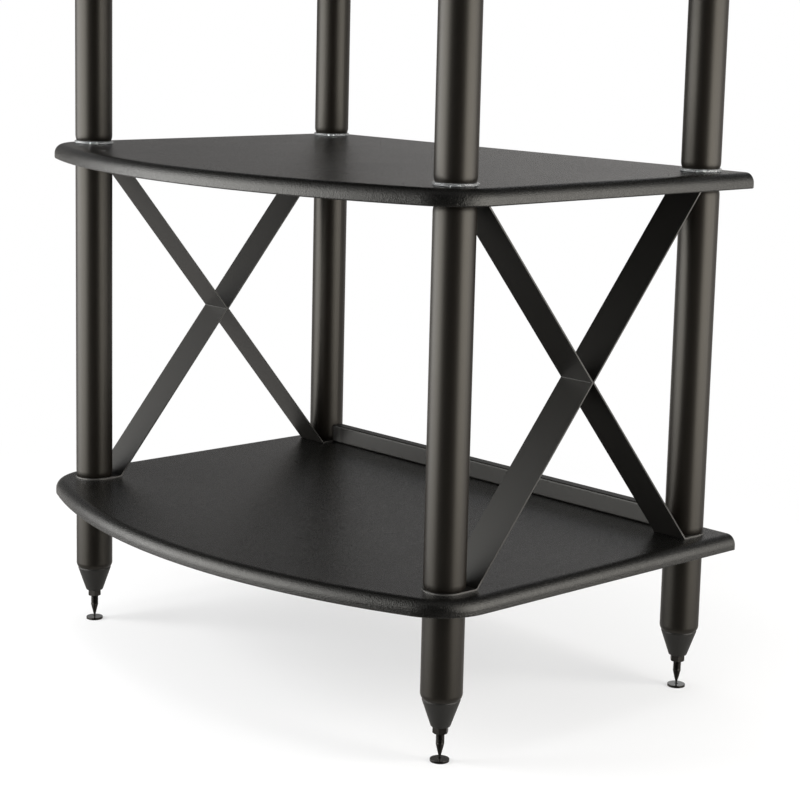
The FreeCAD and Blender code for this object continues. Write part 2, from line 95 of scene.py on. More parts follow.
class NodeSheet:
    """Adds shader nodes to one tree and joins their sockets."""

    def __init__(self, tree: bpy.types.NodeTree) -> None:
        """Keep the tree that the nodes go into."""
        self.tree = tree

    def feed(self, socket: bpy.types.NodeSocket, value: Any) -> None:
        """Link a socket to another one, or set its own value.

        Args:
            socket: The input to fill.
            value: An output socket, or a plain value.
        """
        if isinstance(value, bpy.types.NodeSocket):
            self.tree.links.new(value, socket)
        else:
            socket.default_value = value

    def add(self, kind: str, inputs: dict[Any, Any] | None = None, **settings: Any) -> bpy.types.Node:
        """Add one node.

        Args:
            kind: Blender's name of the node type, without its ShaderNode prefix.
            inputs: What goes into its inputs, by their name or number.
            settings: The node's own properties.

        Returns:
            The new node.
        """
        node = self.tree.nodes.new("ShaderNode" + kind)
        for name, value in settings.items():
            setattr(node, name, value)
        for key, value in (inputs or {}).items():
            self.feed(node.inputs[key], value)
        return node

    def calc(self, operation: str, *values: Any, clamp: bool = False) -> bpy.types.NodeSocket:
        """Work out one number from others, and give its socket."""
        node = self.add("Math", dict(enumerate(values)), operation=operation, use_clamp=clamp)
        return node.outputs["Value"]

    def vector(self, operation: str, *values: Any) -> bpy.types.Node:
        """Work on vectors, and give the node."""
        return self.add("VectorMath", dict(enumerate(values)), operation=operation)

    def spot(self) -> bpy.types.NodeSocket:
        """Give the place on the piece, in metres."""
        return self.add("TexCoord").outputs["Object"]

    def height(self) -> bpy.types.NodeSocket:
        """Give the height over the floor, in metres."""
        return self.add("SeparateXYZ", {0: self.spot()}).outputs["Z"]

    def upward(self) -> bpy.types.NodeSocket:
        """Give how far a face looks upwards: one on a top, zero on a side."""
        return self.add("SeparateXYZ", {0: self.add("NewGeometry").outputs["Normal"]}).outputs["Z"]

    def fade(self, value: Any, start: float, end: float,
             low: Any = 0.0, high: Any = 1.0) -> bpy.types.NodeSocket:
        """Ease from low to high while a value goes from start to end.

        Args:
            value: The value that drives the change.
            start: Where the change starts.
            end: Where it is complete.
            low: The number up to the start.
            high: The number from the end on.

        Returns:
            The socket with the eased number.
        """
        node = self.add("MapRange", {"Value": value, "From Min": start, "From Max": end,
                                     "To Min": low, "To Max": high}, interpolation_type="SMOOTHSTEP")
        return node.outputs["Result"]

    def graph(self, value: Any, stops: Sequence[tuple[float, float]],
              span: float) -> bpy.types.NodeSocket:
        """Follow a graph of straight runs.

        Args:
            value: The value along the graph.
            stops: Pairs of a value and the level there, from low to high.
            span: The value at the graph's right end.

        Returns:
            The socket with the level, at most one.
        """
        node = self.add("ValToRGB", {0: self.calc("DIVIDE", value, span)})
        marks = node.color_ramp.elements
        while len(marks) < len(stops):
            marks.new(1.0)
        for mark, (spot, level) in zip(marks, stops):
            mark.position = spot / span
            mark.color = (level, level, level, 1.0)
        return node.outputs["Color"]

    def scale(self, value: Any, low: Any, high: Any) -> bpy.types.NodeSocket:
        """Stretch a value between 0 and 1 to a range of its own."""
        node = self.add("MapRange", {"Value": value, "To Min": low, "To Max": high})
        return node.outputs["Result"]

    def tint(self, share: Any, one: Any, other: Any) -> bpy.types.NodeSocket:
        """Mix two colours.

        Args:
            share: How much of the other colour there is.
            one: The colour at a share of zero.
            other: The colour at a share of one.

        Returns:
            The socket with the mixed colour.
        """
        # The node has an A and a B for each kind of data: the colours are inputs 6 and 7.
        node = self.add("Mix", {"Factor": share, 6: one, 7: other}, data_type="RGBA")
        return node.outputs[2]

    def noise(self, place: Any, size: float, detail: float = 2.0,
              roughness: float = 0.5) -> bpy.types.NodeSocket:
        """Cloudy noise between 0 and 1.

        Args:
            place: Socket of the coordinates, in metres.
            size: Size of its blotches, in metres.
            detail: How many finer layers it has.
            roughness: How strong the finer layers are.

        Returns:
            The socket with the noise.
        """
        node = self.add("TexNoise", {"Vector": place, "Scale": 1 / size,
                                     "Detail": detail, "Roughness": roughness})
        return node.outputs["Fac"]


def opaque(colour: Rgb) -> tuple[float, float, float, float]:
    """Give a colour its alpha of one."""
    return (*colour, 1.0)


EffectParts = tuple[bpy.types.NodeTree, NodeSheet, bpy.types.Node, bpy.types.Node]


def start_effect(kind: Effect, inputs: dict[str, str], outputs: dict[str, str]) -> EffectParts:
    """Start a shader node group that several finishes share.

    Args:
        kind: The effect, which the group is named after.
        inputs: Its input sockets and what they hold.
        outputs: Its output sockets and what they hold.

    Returns:
        The group, a sheet to add nodes with, the node of its inputs and the node of its outputs.
    """
    group = bpy.data.node_groups.new(kind.value, "ShaderNodeTree")
    for direction, sockets in (("INPUT", inputs), ("OUTPUT", outputs)):
        for label, holds in sockets.items():
            group.interface.new_socket(label, in_out=direction, socket_type="NodeSocket" + holds)
    sheet = NodeSheet(group)
    return group, sheet, group.nodes.new("NodeGroupInput"), group.nodes.new("NodeGroupOutput")


@dataclass
class Effects:
    """The node groups that the finishes share, each built when it is first asked for.

    The post axes stand at post_side on both sides of the middle plane, and at the depths
    post_front and post_rear. A rate says how fine a noise is beside the cells or the peel, and a
    share how strong it is.
    """

    post_side: float
    post_front: float
    post_rear: float
    cell_bend: float = 0.7
    crown_width: float = 0.32
    fine_rate: float = 2.6
    fine_share: float = 0.55
    broad_rate: float = 0.3
    peel_detail: float = 1.5
    flake_rate: float = 3.0
    flake_relief: float = 0.25
    smear_size: float = 90 * MM
    smear_share: float = 0.6
    smudge_size: float = 11 * MM
    smudge_share: float = 0.4
    made: dict[Effect, bpy.types.NodeTree] = field(default_factory=dict)

    def place(self, sheet: NodeSheet, kind: Effect, **inputs: Any) -> bpy.types.Node:
        """Put one of the groups into a material.

        Args:
            sheet: Sheet of the material.
            kind: Which group.
            inputs: Values of its inputs, their names in lower case with underscores.

        Returns:
            The group's node.
        """
        if kind not in self.made:
            self.made[kind] = getattr(self, kind.value)()
        node = sheet.add("Group", node_tree=self.made[kind])
        for key, value in inputs.items():
            sheet.feed(node.inputs[key.replace("_", " ").capitalize()], value)
        return node

    def drift(self, sheet: NodeSheet, low: float, high: float) -> bpy.types.NodeSocket:
        """Let a value drift over a surface, as wiping and handling leave it.

        Args:
            sheet: Sheet of the material.
            low: The lowest value.
            high: The highest value.

        Returns:
            The socket with the value.
        """
        return sheet.scale(self.place(sheet, Effect.HANDLING).outputs["Drift"], low, high)

    def tool_lines(self, sheet: NodeSheet, spacing: float) -> bpy.types.NodeSocket:
        """Lay turning lines about each post axis, on upright and flat faces alike.

        They follow the height plus the distance from the axis.

        Args:
            sheet: Sheet of the material.
            spacing: How far apart the lines are.

        Returns:
            The socket with their height.
        """
        axis = self.place(sheet, Effect.POST_AXIS)
        along = sheet.calc("ADD", axis.outputs["Height"], axis.outputs["Distance"])
        return self.place(sheet, Effect.TURNING_LINES, along=along, spacing=spacing).outputs["Height"]

    def post_axis(self) -> bpy.types.NodeTree:
        """Place of a point as seen from the post axis nearest to it.

        The middle plane mirrors the axes, so the offset across is |x| less the axis's x. The front
        axes serve the points in front of the half-way depth and the rear axes the others.

        Returns:
            The group, which puts out the offset, the distance from the axis and the height.
        """
        group, sheet, _, out = start_effect(
            Effect.POST_AXIS, {}, {"Offset": "Vector", "Distance": "Float", "Height": "Float"})
        here = sheet.add("SeparateXYZ", {0: sheet.spot()})
        rear = sheet.calc("GREATER_THAN", here.outputs["Y"], (self.post_front + self.post_rear) / 2)
        across = sheet.calc("SUBTRACT", sheet.calc("ABSOLUTE", here.outputs["X"]), self.post_side)
        nearest = sheet.scale(rear, self.post_front, self.post_rear)
        deep = sheet.calc("SUBTRACT", here.outputs["Y"], nearest)
        offset = sheet.add("CombineXYZ", {"X": across, "Y": deep})
        sheet.feed(out.inputs["Offset"], offset.outputs[0])
        sheet.feed(out.inputs["Distance"], sheet.vector("LENGTH", offset.outputs[0]).outputs["Value"])
        sheet.feed(out.inputs["Height"], here.outputs["Z"])
        return group

    def wrap_grain(self) -> bpy.types.NodeTree:
        """Pebbled grain like fine leather: rounded cells with creases between them.

        The distance to the nearest crease of a cell pattern, bent by noise, rises quickly and
        levels off. A finer noise roughens the crowns, and a broader one lets the sheet rise and
        fall softly.

        Returns:
            The group, which takes the cell size and the strength of the broad noise and puts out
            the height and the crease mask.
        """
        group, sheet, given, out = start_effect(
            Effect.WRAP_GRAIN, {"Cell size": "Float", "Broad share": "Float"},
            {"Height": "Float", "Crease": "Float"})
        spot = sheet.spot()
        per_metre = sheet.calc("DIVIDE", 1.0, given.outputs["Cell size"])
        bend = sheet.add("TexNoise", {"Vector": spot, "Scale": per_metre, "Detail": 1.0})
        shift = sheet.vector("SCALE", bend.outputs["Color"])
        sheet.feed(shift.inputs["Scale"], sheet.calc(
            "MULTIPLY", given.outputs["Cell size"], self.cell_bend))
        bent = sheet.vector("ADD", spot, shift.outputs[0]).outputs[0]
        cells = sheet.add("TexVoronoi", {"Vector": bent, "Scale": per_metre}, feature="DISTANCE_TO_EDGE")
        crown = sheet.fade(cells.outputs["Distance"], 0.0, self.crown_width)
        fine_per_metre = sheet.calc("MULTIPLY", per_metre, self.fine_rate)
        fine = sheet.add("TexNoise", {"Vector": spot, "Scale": fine_per_metre, "Detail": 2.0})
        broad_per_metre = sheet.calc("MULTIPLY", per_metre, self.broad_rate)
        broad = sheet.add("TexNoise", {"Vector": spot, "Scale": broad_per_metre, "Detail": 1.0})
        relief = sheet.calc("MULTIPLY_ADD", fine.outputs["Fac"], self.fine_share, crown)
        sheet.feed(out.inputs["Height"], sheet.calc(
            "MULTIPLY_ADD", broad.outputs["Fac"], given.outputs["Broad share"], relief))
        sheet.feed(out.inputs["Crease"], sheet.calc("SUBTRACT", 1.0, crown))
        return group

    def coat_skin(self) -> bpy.types.NodeTree:
        """Skin of a baked metallic coat: soft orange peel, and flakes that differ in brightness.

        Returns:
            The group, which takes the size of the peel and puts out the height and the flakes.
        """
        group, sheet, given, out = start_effect(
            Effect.COAT_SKIN, {"Peel size": "Float"}, {"Height": "Float", "Flakes": "Float"})
        spot = sheet.spot()
        per_metre = sheet.calc("DIVIDE", 1.0, given.outputs["Peel size"])
        peel = sheet.add("TexNoise", {"Vector": spot, "Scale": per_metre, "Detail": self.peel_detail})
        flakes_per_metre = sheet.calc("MULTIPLY", per_metre, self.flake_rate)
        flakes = sheet.add("TexVoronoi", {"Vector": spot, "Scale": flakes_per_metre})
        grey = sheet.add("SeparateColor", {0: flakes.outputs["Color"]})
        sheet.feed(out.inputs["Height"], sheet.calc(
            "MULTIPLY_ADD", grey.outputs[0], self.flake_relief, peel.outputs["Fac"]))
        sheet.feed(out.inputs["Flakes"], grey.outputs[1])
        return group

    def turning_lines(self) -> bpy.types.NodeTree:
        """Fine lines that a lathe tool leaves: noise that changes only along one measure.

        Returns:
            The group, which takes that measure in metres and the line spacing and puts out the height.
        """
        group, sheet, given, out = start_effect(
            Effect.TURNING_LINES, {"Along": "Float", "Spacing": "Float"}, {"Height": "Float"})
        steps = sheet.calc("DIVIDE", given.outputs["Along"], given.outputs["Spacing"])
        lines = sheet.add("TexNoise", {"W": steps, "Scale": 1.0, "Detail": 3.0}, noise_dimensions="1D")
        sheet.feed(out.inputs["Height"], lines.outputs["Fac"])
        return group

    def handling(self) -> bpy.types.NodeTree:
        """Faint cloudy unevenness of a finish that has been wiped and handled.

        Returns:
            The group, which puts out a value that drifts about one half.
        """
        group, sheet, _, out = start_effect(Effect.HANDLING, {}, {"Drift": "Float"})
        spot = sheet.spot()
        smears = sheet.calc("MULTIPLY", sheet.noise(spot, self.smear_size, 3.0), self.smear_share)
        smudges = sheet.noise(spot, self.smudge_size, 3.0, 0.6)
        sheet.feed(out.inputs["Drift"], sheet.calc("MULTIPLY_ADD", smudges, self.smudge_share, smears))
        return group


def raise_surface(sheet: NodeSheet, surface: bpy.types.Node, height: Any, depth: float) -> None:
    """Give a surface shader relief.

    Args:
        sheet: Sheet of the material.
        surface: Its surface shader.
        height: Socket of the height, about 0 to 1.
        depth: The relief's real depth, in metres.
    """
    bump = sheet.add("Bump", {"Height": height, "Distance": depth, "Strength": 1.0})
    sheet.feed(surface.inputs["Normal"], bump.outputs["Normal"])


@dataclass(frozen=True)
class Finish:
    """A finish, which knows how to set a surface shader."""

    def dress(self, sheet: NodeSheet, surface: bpy.types.Node, effects: Effects) -> None:
        """Set the surface shader.

        Args:
            sheet: Sheet of the material.
            surface: Its surface shader.
            effects: The shared node groups.
        """
        raise NotImplementedError

    def build(self, slot: Slot, effects: Effects) -> bpy.types.Material:
        """Make the material.

        Args:
            slot: The slot that it is for, which it is named after.
            effects: The shared node groups.

        Returns:
            The material.
        """
        material = bpy.data.materials.new(slot.value + "_finish")
        material.use_nodes = True
        surface = material.node_tree.nodes["Principled BSDF"]
        self.dress(NodeSheet(material.node_tree), surface, effects)
        return material


@dataclass(frozen=True)
class WrapFinish(Finish):
    """Black coat of the boards, grained like fine leather."""

    colour: Rgb = (0.0042, 0.0041, 0.0038)
    # Colour of the grain's creases, darker than the board: painted shade in the hollows.
    crease_shade_colour: Rgb = (0.0020, 0.0020, 0.0018)
    sheen_tint: Rgb = (1.0, 0.985, 0.93)
    specular_level: float = 0.45
    cell_size: float = 1.6 * MM
    grain_depth: float = 0.095 * MM
    broad_share: float = 1.2
    crease_share: float = 0.8
    smoothest: float = 0.13
    roughest: float = 0.21
    crease_roughness: float = 0.16

    def dress(self, sheet: NodeSheet, surface: bpy.types.Node, effects: Effects) -> None:
        """Lay the grain: dark creases, which are painted shade, lighter crowns and a drifting sheen.

        Args:
            sheet: Sheet of the material.
            surface: Its surface shader.
            effects: The shared node groups.
        """
        grain = effects.place(sheet, Effect.WRAP_GRAIN, cell_size=self.cell_size,
                              broad_share=self.broad_share)
        crease = sheet.calc("MULTIPLY", grain.outputs["Crease"], self.crease_share)
        # The creases get the darker colour: painted shade where the grain's hollows would fall into
        # shadow.
        sheet.feed(surface.inputs["Base Color"],
                   sheet.tint(crease, opaque(self.colour), opaque(self.crease_shade_colour)))
        surface.inputs["Specular IOR Level"].default_value = self.specular_level
        surface.inputs["Specular Tint"].default_value = opaque(self.sheen_tint)
        sheen = effects.drift(sheet, self.smoothest, self.roughest)
        sheet.feed(surface.inputs["Roughness"],
                   sheet.calc("MULTIPLY_ADD", crease, self.crease_roughness, sheen))
        raise_surface(sheet, surface, grain.outputs["Height"], self.grain_depth)


@dataclass(frozen=True)
class CoatFinish(Finish):
    """Baked metallic coat, as on the posts, the strips and the cones."""

    colour: Rgb
    flake_colour: Rgb
    sheen_tint: Rgb
    specular_level: float
    roughness: float
    roughness_drift: float = 0.03
    peel_size: float = 0.9 * MM
    peel_depth: float = 0.012 * MM
    turned: bool = False
    turning_spacing: float = 0.35 * MM
    turning_depth: float = 0.01 * MM
    # Upright faces near the posts get a lighter, part-metal colour: bare sheared steel and a painted
    # edge highlight.
    bare_edges_and_highlight: bool = False
    edge_highlight_reach: float = 27 * MM
    edge_highlight_fade: float = 9 * MM
    edge_highlight_slope_starts: float = 0.35
    edge_highlight_slope_full: float = 0.15
    bare_edge_and_highlight_colour: Rgb = (0.100, 0.097, 0.092)
    bare_edge_and_highlight_metal: float = 0.42

    def bare_edge_and_highlight_mask(self, sheet: NodeSheet, effects: Effects) -> bpy.types.NodeSocket:
        """Find the upright faces within reach of a post axis, which get a lighter, part-metal colour.

        The colour stands for bare sheared steel on the strip edges there, and it is also a painted
        highlight: the bright line that a rounded edge would catch.

        Args:
            sheet: Sheet of the material.
            effects: The shared node groups.

        Returns:
            The socket with their mask.
        """
        slope = sheet.calc("ABSOLUTE", sheet.upward())
        edge = sheet.fade(slope, self.edge_highlight_slope_starts, self.edge_highlight_slope_full)
        distance = effects.place(sheet, Effect.POST_AXIS).outputs["Distance"]
        near = sheet.fade(distance, self.edge_highlight_reach + self.edge_highlight_fade, self.edge_highlight_reach)
        return sheet.calc("MULTIPLY", edge, near)

    def dress(self, sheet: NodeSheet, surface: bpy.types.Node, effects: Effects) -> None:
        """Lay the coat: flaked colour, orange peel and, on turned pieces, tool lines.

        Args:
            sheet: Sheet of the material.
            surface: Its surface shader.
            effects: The shared node groups.
        """
        skin = effects.place(sheet, Effect.COAT_SKIN, peel_size=self.peel_size)
        colour = sheet.tint(skin.outputs["Flakes"], opaque(self.colour), opaque(self.flake_colour))
        # Near the posts the upright faces get the lighter, part-metal colour: bare sheared steel and a
        # painted edge highlight.
        if self.bare_edges_and_highlight:
            edge_highlight = self.bare_edge_and_highlight_mask(sheet, effects)
            colour = sheet.tint(edge_highlight, colour, opaque(self.bare_edge_and_highlight_colour))
            sheet.feed(surface.inputs["Metallic"], sheet.calc("MULTIPLY", edge_highlight, self.bare_edge_and_highlight_metal))
        sheet.feed(surface.inputs["Base Color"], colour)
        surface.inputs["Specular IOR Level"].default_value = self.specular_level
        surface.inputs["Specular Tint"].default_value = opaque(self.sheen_tint)
        sheet.feed(surface.inputs["Roughness"], effects.drift(
            sheet, self.roughness - self.roughness_drift, self.roughness + self.roughness_drift))
        height = skin.outputs["Height"]
        if self.turned:
            lines = effects.tool_lines(sheet, self.turning_spacing)
            share = self.turning_depth / self.peel_depth
            height = sheet.calc("MULTIPLY_ADD", lines, share, height)
        raise_surface(sheet, surface, height, self.peel_depth)


@dataclass(frozen=True)
class MachinedFinish(Finish):
    """Bare or blackened metal as it comes off a lathe, polished where it lies on the floor."""

    colour: Rgb
    line_colour: Rgb
    roughness: float
    roughness_drift: float = 0.06
    spacing: float = 0.22 * MM
    depth: float = 0.012 * MM
    polished_below: float = 0.0
    polished_slope_starts: float = 0.5
    polished_slope_full: float = 0.9
    polished_colour: Rgb = (0.34, 0.34, 0.33)
    polished_share: float = 0.5

    def dress(self, sheet: NodeSheet, surface: bpy.types.Node, effects: Effects) -> None:
        """Lay the tool lines, in the colour and in the relief, and the polish near the floor.

        Args:
            sheet: Sheet of the material.
            surface: Its surface shader.
            effects: The shared node groups.
        """
        lines = effects.tool_lines(sheet, self.spacing)
        colour = sheet.tint(lines, opaque(self.colour), opaque(self.line_colour))
        surface.inputs["Metallic"].default_value = 1.0
        roughness = effects.drift(
            sheet, self.roughness - self.roughness_drift, self.roughness + self.roughness_drift)
        if self.polished_below:
            near_floor = sheet.calc("LESS_THAN", sheet.height(), self.polished_below)
            flat = sheet.fade(sheet.upward(), self.polished_slope_starts, self.polished_slope_full)
            polished = sheet.calc("MULTIPLY", near_floor, flat)
            colour = sheet.tint(polished, colour, opaque(self.polished_colour))
            roughness = sheet.calc(
                "MULTIPLY", roughness, sheet.scale(polished, 1.0, self.polished_share))
        sheet.feed(surface.inputs["Base Color"], colour)
        sheet.feed(surface.inputs["Roughness"], roughness)
        raise_surface(sheet, surface, lines, self.depth)


@dataclass(frozen=True)
class ClearFinish(Finish):
    """Clear, slightly milky moulded plastic of the washers."""

    colour: Rgb = (0.84, 0.86, 0.86)
    refraction: float = 1.49
    clarity: float = 0.80
    smoothest: float = 0.05
    roughest: float = 0.15
    ripple_size: float = 4 * MM
    ripple_depth: float = 0.03 * MM

    def dress(self, sheet: NodeSheet, surface: bpy.types.Node, effects: Effects) -> None:
        """Make the shader see-through, with faint flow ripples.

        Args:
            sheet: Sheet of the material.
            surface: Its surface shader.
            effects: The shared node groups.
        """
        surface.inputs["Base Color"].default_value = opaque(self.colour)
        surface.inputs["Transmission Weight"].default_value = self.clarity
        surface.inputs["IOR"].default_value = self.refraction
        sheet.feed(surface.inputs["Roughness"], effects.drift(sheet, self.smoothest, self.roughest))
        ripple = sheet.noise(sheet.spot(), self.ripple_size)
        raise_surface(sheet, surface, ripple, self.ripple_depth)


@dataclass(frozen=True)
class FinishBook:
    """The finish of every material slot."""

    finishes: dict[Slot, Finish] = field(default_factory=lambda: {
        Slot.SHELF_WRAP: WrapFinish(),
        Slot.POST_COAT: CoatFinish(
            colour=(0.0034, 0.0025, 0.0017), flake_colour=(0.0058, 0.0047, 0.0037),
            sheen_tint=(1.0, 0.95, 0.84), specular_level=0.44, roughness=0.38),
        # The strips get the lighter edge colour near the posts: bare sheared steel and a painted edge
        # highlight.
        Slot.STRIP_COAT: CoatFinish(
            colour=(0.0050, 0.0046, 0.0040), flake_colour=(0.0082, 0.0077, 0.0069),
            sheen_tint=(1.0, 0.99, 0.94), specular_level=0.47, roughness=0.43,
            peel_size=0.7 * MM, bare_edges_and_highlight=True),
        Slot.CONE_COAT: CoatFinish(
            colour=(0.0060, 0.0058, 0.0054), flake_colour=(0.0100, 0.0098, 0.0092),
            sheen_tint=(1.0, 0.985, 0.94), specular_level=0.50, roughness=0.48, turned=True),
        Slot.BLACK_STEEL: MachinedFinish(
            colour=(0.034, 0.032, 0.029), line_colour=(0.050, 0.047, 0.043), roughness=0.30,
            polished_below=3.2 * MM),
        Slot.PLUG_ALUMINIUM: MachinedFinish(
            colour=(0.72, 0.73, 0.75), line_colour=(0.80, 0.81, 0.82), roughness=0.30),
        Slot.PLATED_STEEL: MachinedFinish(
            colour=(0.60, 0.61, 0.62), line_colour=(0.72, 0.73, 0.74), roughness=0.28),
        Slot.CLEAR_WASHER: ClearFinish(),
    })

    def build(self, effects: Effects) -> dict[Slot, bpy.types.Material]:
        """Make every material, by its slot."""
        return {slot: finish.build(slot, effects) for slot, finish in self.finishes.items()}


@dataclass(frozen=True)
class Patch:
    """A surface worked out on a grid of two parameters.

    The points are an array of rows by columns by three. Neighbours in a row and in a column are
    joined. Points that fall together, as at a seam or a pole, are welded later.
    """

    points: np.ndarray

    def corners(self) -> np.ndarray:
        """Give the points as a list."""
        return self.points.reshape(-1, 3)

    def faces(self, first: int) -> np.ndarray:
        """Number the four corners of each face.

        Args:
            first: The number of the surface's first point.

        Returns:
            An array of faces by four.
        """
        rows, columns = self.points.shape[:2]
        number = first + np.arange(rows * columns).reshape(rows, columns)
        around = (number[:-1, :-1], number[:-1, 1:], number[1:, 1:], number[1:, :-1])
        return np.stack(around, -1).reshape(-1, 4)


def circle_turns(count: int) -> np.ndarray:
    """Angles of evenly spaced directions, the last one a full turn after the first."""
    return np.linspace(0.0, math.tau, count + 1)


def lathe(profile: Sequence[tuple[float, float]], sides: int) -> Patch:
    """Turn an outline about the upright axis.

    A point of the outline at radius r and height z becomes the ring (r cos a, r sin a, z).

    Args:
        profile: Radius and height of each outline point.
        sides: How many sides the turned form has.

    Returns:
        The surface.
    """
    outline = np.array(profile)
    turns = circle_turns(sides)
    radius, height = outline[:, :1], outline[:, 1:]
    return Patch(np.stack((radius * np.cos(turns), radius * np.sin(turns), height + 0 * turns), -1))


def weld_piece(name: str, patches: Sequence[Patch], material: bpy.types.Material,
               smooth_angle: float = 35.0) -> bpy.types.Object:
    """Make one closed object out of surfaces.

    Points that fall together are merged, faces without area go, and the rest turn outwards.

    Args:
        name: The piece's name.
        patches: The surfaces.
        material: Its finish.
        smooth_angle: Edges that turn by less than this many degrees look round.

    Returns:
        The new object.
    """
    firsts = np.cumsum([0] + [len(patch.corners()) for patch in patches])
    points = np.concatenate([patch.corners() for patch in patches])
    faces = np.concatenate([patch.faces(first) for patch, first in zip(patches, firsts)])
    mesh = bpy.data.meshes.new(name)
    mesh.from_pydata(points, [], faces)
    form = bmesh.new()
    form.from_mesh(mesh)
    bmesh.ops.remove_doubles(form, verts=form.verts, dist=WELD_DISTANCE)
    bmesh.ops.dissolve_degenerate(form, edges=form.edges, dist=SLIVER_LENGTH)
    bmesh.ops.recalc_face_normals(form, faces=form.faces)
    form.to_mesh(mesh)
    form.free()
    mesh.materials.append(material)
    mesh.shade_smooth()
    mesh.set_sharp_from_angle(angle=math.radians(smooth_angle))
    piece = bpy.data.objects.new(name, mesh)
    bpy.context.scene.collection.objects.link(piece)
    return piece


@dataclass(frozen=True)
class Thread:
    """An outside screw thread.

    Its crest and its root are flat over their shares of half a pitch, and it runs out over
    fade_turns at both ends.
    """

    diameter: float
    pitch: float
    depth: float
    crest_share: float = 0.14
    root_share: float = 0.24
    rows_per_turn: int = 10
    fade_turns: float = 1.0

    def surface(self, low: float, high: float, sides: int) -> Patch:
        """Work out the thread between two heights.

        Each grid row follows the helix: its height is its start plus pitch times the turn, and its
        place within one pitch sets how deep it lies. Heights are held between low and high, and the
        depth eases to nothing at both ends, so that the end rows fall together on plain rings.

        Args:
            low: Height where the thread starts.
            high: Height where it ends.
            sides: How many sides one turn has.

        Returns:
            The surface, with both its ends on the full diameter.
        """
        turns = circle_turns(sides)
        count = math.ceil((high - low) / self.pitch + 1) * self.rows_per_turn
        row = np.arange(count + 1)[:, None]
        height = np.clip(low + self.pitch * (row / self.rows_per_turn - 1 + turns / math.tau), low, high)
        phase = np.abs((row / self.rows_per_turn) % 1 - 0.5) * 2
        flank = np.clip((phase - self.crest_share) / (1 - self.crest_share - self.root_share), 0, 1)
        end = np.minimum(height - low, high - height) / (self.pitch * self.fade_turns)
        radius = self.diameter / 2 - self.depth * flank * np.clip(end, 0, 1)
        return Patch(np.stack((radius * np.cos(turns), radius * np.sin(turns), height), -1))


def put(patches: Sequence[Patch], place: Vector) -> list[Patch]:
    """Move surfaces to their place in the stand's frame."""
    return [Patch(patch.points + np.array(place)) for patch in patches]


def dress_nodes(names: Sequence[str], material: bpy.types.Material) -> None:
    """Give CAD nodes a finish.

    Args:
        names: The nodes.
        material: What their material slots get.
    """
    for name in names:
        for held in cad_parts[name].material_slots:
            held.material = material
    log.info("%s: %s", material.name, ", ".join(names))


def adopt(piece: bpy.types.Object, body: str, node: str) -> None:
    """Let a new piece stand for a CAD node.

    Args:
        piece: The new piece.
        body: The body that it moves with.
        node: The node that it replaces.
    """
    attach(piece, body)
    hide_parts(node)
    log.info("%s: %d faces, for %s", piece.name, len(piece.data.polygons), node)


@dataclass
class Boards:
    """The three boards."""

    names: tuple[str, ...] = ("bottom_shelf", "middle_shelf", "top_shelf")

    def dress(self, book: dict[Slot, bpy.types.Material]) -> None:
        """Wrap the boards."""
        dress_nodes(self.names, book[Slot.SHELF_WRAP])


@dataclass
class Posts:
    """Legs and posts, with the plugs, studs, nuts and washers at their ends."""

    tubes: tuple[str, ...] = ("leg", "lower_post", "upper_post")
    plugs: tuple[str, ...] = ("leg_plugs", "lower_post_plugs", "upper_post_plugs")
    fixings: tuple[str, ...] = ("bottom_shelf_studs", "middle_shelf_studs", "top_shelf_studs",
                                "top_shelf_blind_nuts")
    washers: tuple[str, ...] = ("middle_shelf_washers", "top_shelf_washers")

    def dress(self, book: dict[Slot, bpy.types.Material]) -> None:
        """Coat the tubes and finish what joins them.

        Args:
            book: The finish of every slot.
        """
        tubes = [f"{tube}_{corner.value}" for tube in self.tubes for corner in Corner]
        dress_nodes(tubes, book[Slot.POST_COAT])
        dress_nodes(self.plugs, book[Slot.PLUG_ALUMINIUM])
        dress_nodes(self.fixings, book[Slot.PLATED_STEEL])
        dress_nodes(self.washers, book[Slot.CLEAR_WASHER])


@dataclass
class Bracing:
    """The folded strips and the record stop bar."""

    bar: str = "record_stop_bar"

    def dress(self, book: dict[Slot, bpy.types.Material]) -> None:
        """Coat the strips and the bar."""
        dress_nodes([f"brace_{corner.value}" for corner in Corner] + [self.bar], book[Slot.STRIP_COAT])


